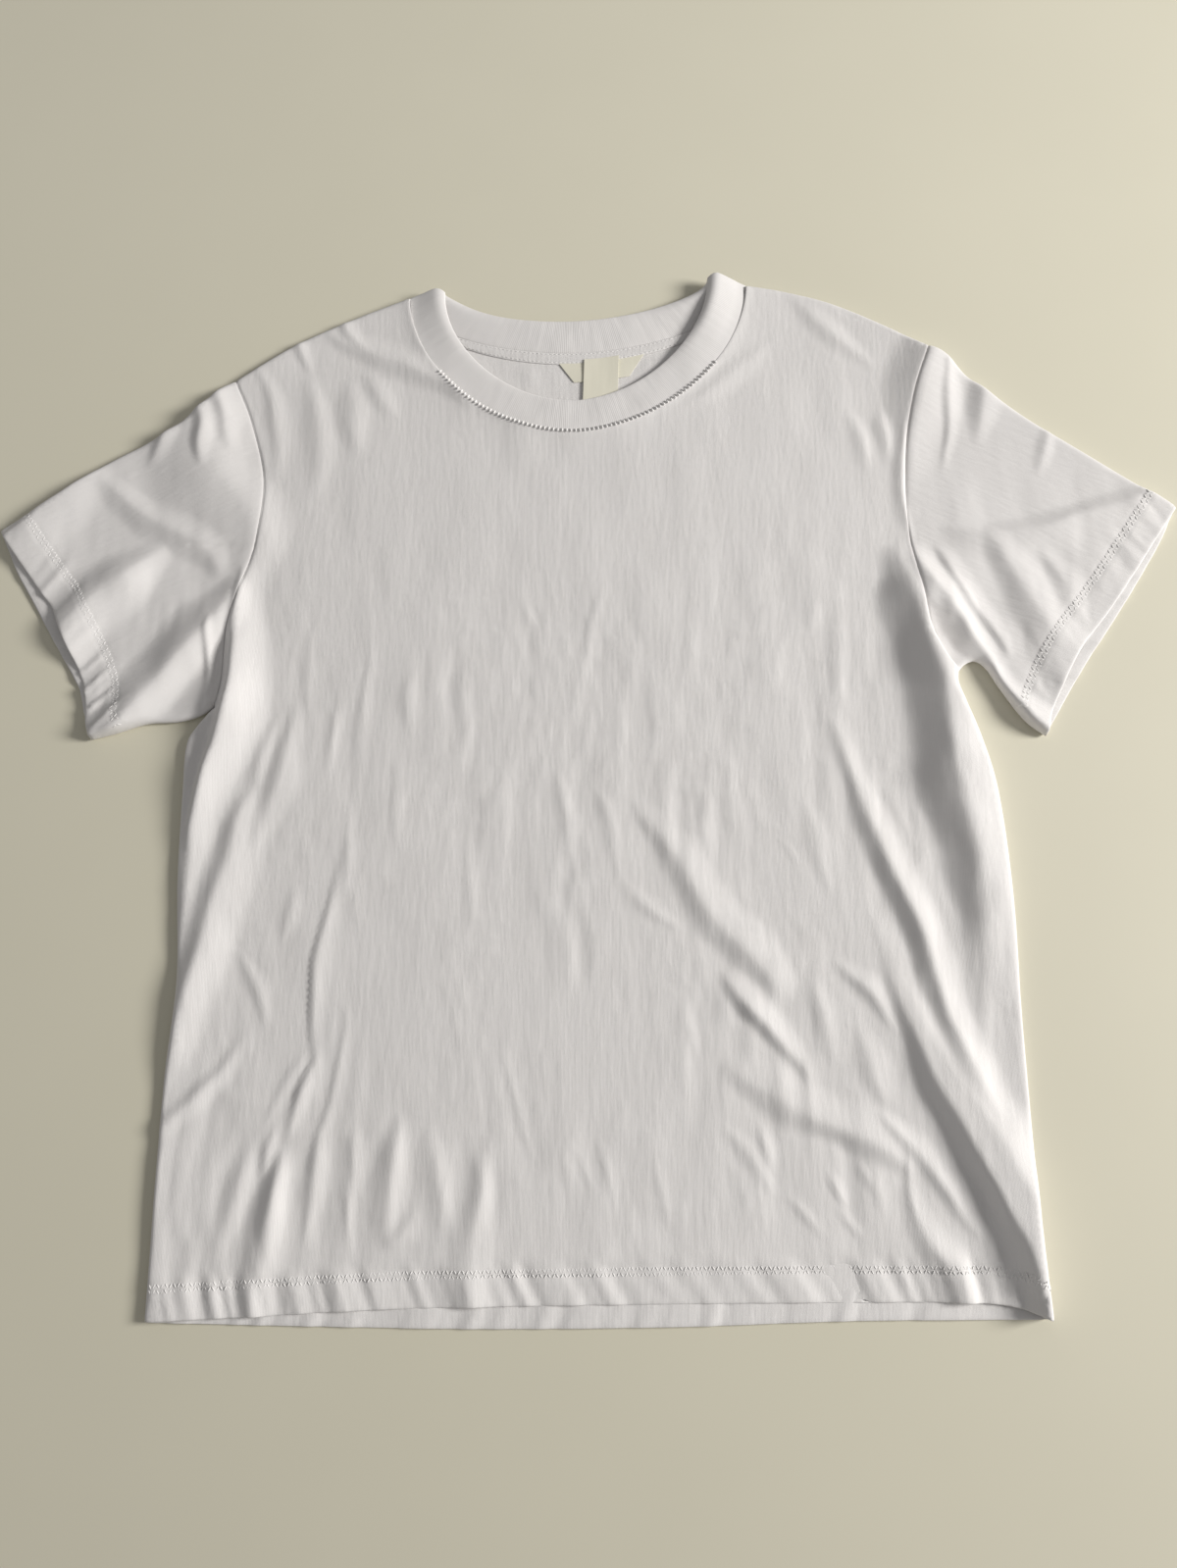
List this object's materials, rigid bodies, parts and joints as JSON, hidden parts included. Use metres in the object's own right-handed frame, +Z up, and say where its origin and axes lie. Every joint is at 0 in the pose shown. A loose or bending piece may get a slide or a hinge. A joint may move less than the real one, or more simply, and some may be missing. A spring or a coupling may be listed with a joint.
{
  "type": "crew neck t-shirt",
  "caption": "Short-sleeved crew neck T-shirt in white cotton jersey, lying flat and face up with soft folds, a rib neckband and blank woven labels.",
  "frame": {"origin": "on the table under the middle of the back panel, on the centre line between the side seams", "axes": "+X to the sleeve on the right as the shirt is seen from above, +Y from the hem to the neck, +Z up from the table"},
  "size_m": [0.7814, 0.6828, 0.0146],
  "materials": {
    "jersey": "matte fine single jersey, white",
    "rib": "matte fine rib knit, white",
    "tape": "matte jersey tape, white",
    "label": "smooth woven ribbon with a slight sheen, cream, blank"
  },
  "bodies": {
    "root": {"back_panel": "jersey", "front_panel": "jersey", "sleeve_left": "jersey", "sleeve_right": "jersey", "neck_rib": "rib", "neck_tape": "tape", "loop_label": "label", "size_label": "label"}
  },
  "joints": []
}
